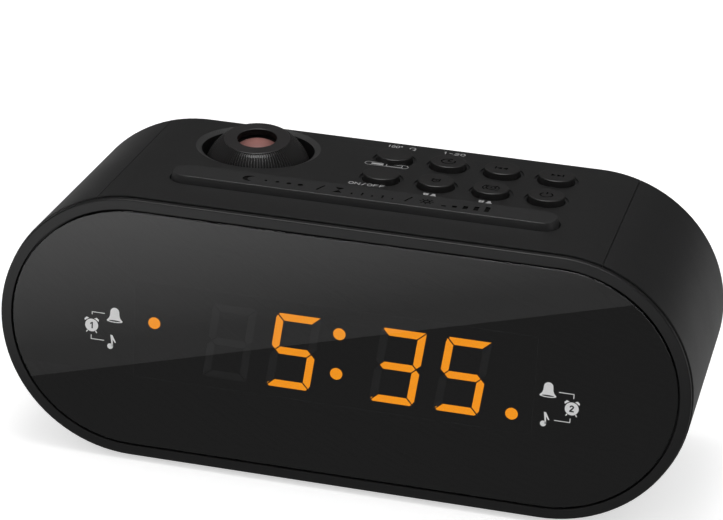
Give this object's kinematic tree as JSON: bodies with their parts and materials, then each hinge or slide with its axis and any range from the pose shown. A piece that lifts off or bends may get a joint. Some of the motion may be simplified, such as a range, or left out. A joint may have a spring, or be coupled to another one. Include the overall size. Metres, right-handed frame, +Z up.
{
  "type": "projection alarm clock",
  "caption": "Stadium-shaped LED alarm clock with smoked front window, snooze bar, round push buttons and a tilting projector head with a ribbed focus ring.",
  "frame": {"origin": "on the surface the clock stands on, under the middle of its outline", "axes": "+X to the user's right, -Y out of the display window, +Z up"},
  "size_m": [0.19, 0.07, 0.0813],
  "materials": {
    "rim_plastic": "satin black moulded plastic",
    "smoked_acrylic": "polished smoked acrylic",
    "reflector_plastic": "black moulded plastic",
    "amber_diffuser": "clear amber resin, lit",
    "circuit_board": "green laminate",
    "steel_screws": "zinc plated",
    "housing_plastic": "fine matte grain",
    "panel_plastic": "fine matte grain",
    "gland_rubber": "moulded",
    "foot_rubber": "moulded",
    "coin_steel": "polished",
    "contact_brass": "plated spring brass",
    "bar_plastic": "satin",
    "button_plastic": "satin",
    "plunger_plastic": "moulded",
    "switch_body": "moulded with steel cover",
    "component_black": "moulded",
    "ribbon_white": "flat cable",
    "core_steel": "laminations",
    "winding_copper": "enamelled wire and tape",
    "cone_paper": "pressed paper",
    "magnet_ferrite": "ferrite",
    "cradle_plastic": "moulded",
    "ring_plastic": "satin with fine ribs",
    "lens_glass": "polished",
    "lcd_glass": "polished",
    "lamp_red": "clear red resin"
  },
  "bodies": {
    "housing": {"front_bezel": "rim_plastic", "display_window": "smoked_acrylic", "display_reflector": "reflector_plastic", "digit_segments": "amber_diffuser", "display_board": "circuit_board", "key_board": "circuit_board", "main_board": "circuit_board", "display_screws": "steel_screws", "panel_screws": "steel_screws", "cover_screws": "steel_screws", "key_board_screws": "steel_screws", "main_board_screws": "steel_screws", "transformer_screws": "steel_screws", "speaker_screws": "steel_screws", "cradle_screws": "steel_screws", "transformer_bracket": "steel_screws", "speaker_frame": "steel_screws", "main_shell": "housing_plastic", "rear_cover": "housing_plastic", "top_panel": "panel_plastic", "cord_gland": "gland_rubber", "rubber_feet": "foot_rubber", "coin_cell": "coin_steel", "battery_contacts": "contact_brass", "tact_switches": "switch_body", "board_components": "component_black", "ribbon_cables": "ribbon_white", "transformer_core": "core_steel", "transformer_windings": "winding_copper", "speaker_cone": "cone_paper", "speaker_magnet": "magnet_ferrite", "projector_cradle": "cradle_plastic"},
    "snooze": {"snooze_bar": "bar_plastic", "snooze_plungers": "plunger_plastic"},
    "projector": {"projector_head": "cradle_plastic", "pivot_pins": "steel_screws", "condenser_lens": "lens_glass", "projector_lcd": "lcd_glass", "projector_led": "lamp_red", "projector_board": "circuit_board"},
    "focus": {"focus_ring": "ring_plastic"},
    "lens": {"lens_barrel": "cradle_plastic", "projection_lens": "lens_glass"},
    "door": {"battery_door": "housing_plastic"},
    "projection": {"projection_button": "button_plastic", "projection_plunger": "plunger_plastic"},
    "alarm_one": {"alarm_one_button": "button_plastic", "alarm_one_plunger": "plunger_plastic"},
    "alarm_two": {"alarm_two_button": "button_plastic", "alarm_two_plunger": "plunger_plastic"},
    "radio_power": {"radio_power_button": "button_plastic", "radio_power_plunger": "plunger_plastic"},
    "flip": {"flip_button": "button_plastic", "flip_plunger": "plunger_plastic"},
    "clock_set": {"clock_set_button": "button_plastic", "clock_set_plunger": "plunger_plastic"},
    "previous": {"previous_button": "button_plastic", "previous_plunger": "plunger_plastic"},
    "next": {"next_button": "button_plastic", "next_plunger": "plunger_plastic"}
  },
  "joints": [
    {"name": "projection_press", "type": "slide", "parent": "housing", "child": "projection", "axis": [0, 0, -1], "range_m": [0, 0.0006], "stiffness_N_per_m": 1500},
    {"name": "alarm_one_press", "type": "slide", "parent": "housing", "child": "alarm_one", "axis": [0, 0, -1], "range_m": [0, 0.0006], "stiffness_N_per_m": 1500},
    {"name": "alarm_two_press", "type": "slide", "parent": "housing", "child": "alarm_two", "axis": [0, 0, -1], "range_m": [0, 0.0006], "stiffness_N_per_m": 1500},
    {"name": "radio_power_press", "type": "slide", "parent": "housing", "child": "radio_power", "axis": [0, 0, -1], "range_m": [0, 0.0006], "stiffness_N_per_m": 1500},
    {"name": "flip_press", "type": "slide", "parent": "housing", "child": "flip", "axis": [0, 0, -1], "range_m": [0, 0.0006], "stiffness_N_per_m": 1500},
    {"name": "clock_set_press", "type": "slide", "parent": "housing", "child": "clock_set", "axis": [0, 0, -1], "range_m": [0, 0.0006], "stiffness_N_per_m": 1500},
    {"name": "previous_press", "type": "slide", "parent": "housing", "child": "previous", "axis": [0, 0, -1], "range_m": [0, 0.0006], "stiffness_N_per_m": 1500},
    {"name": "next_press", "type": "slide", "parent": "housing", "child": "next", "axis": [0, 0, -1], "range_m": [0, 0.0006], "stiffness_N_per_m": 1500},
    {"name": "snooze_press", "type": "slide", "parent": "housing", "child": "snooze", "axis": [0, 0, -1], "range_m": [0, 0.0006], "stiffness_N_per_m": 2500},
    {"name": "projector_tilt", "type": "hinge", "parent": "housing", "child": "projector", "pos_m": [-0.0376, 0.017, 0.0676], "axis": [1, 0, 0], "range_deg": [-30, 30]},
    {"name": "focus_turn", "type": "hinge", "parent": "projector", "child": "focus", "pos_m": [-0.0376, 0.017, 0.0676], "axis": [0, -0.1461, 0.9893], "range_deg": [-60, 60]},
    {"name": "lens_slide", "type": "slide", "parent": "projector", "child": "lens", "axis": [0, -0.1461, 0.9893], "range_m": [-0.001, 0.001]},
    {"name": "battery_door_slide", "type": "slide", "parent": "housing", "child": "door", "axis": [0, 1, 0], "range_m": [0, 0.024]}
  ],
  "couplings": [
    {"joint": "lens_slide", "follows": "focus_turn", "m_per_rad": 0.00095}
  ]
}
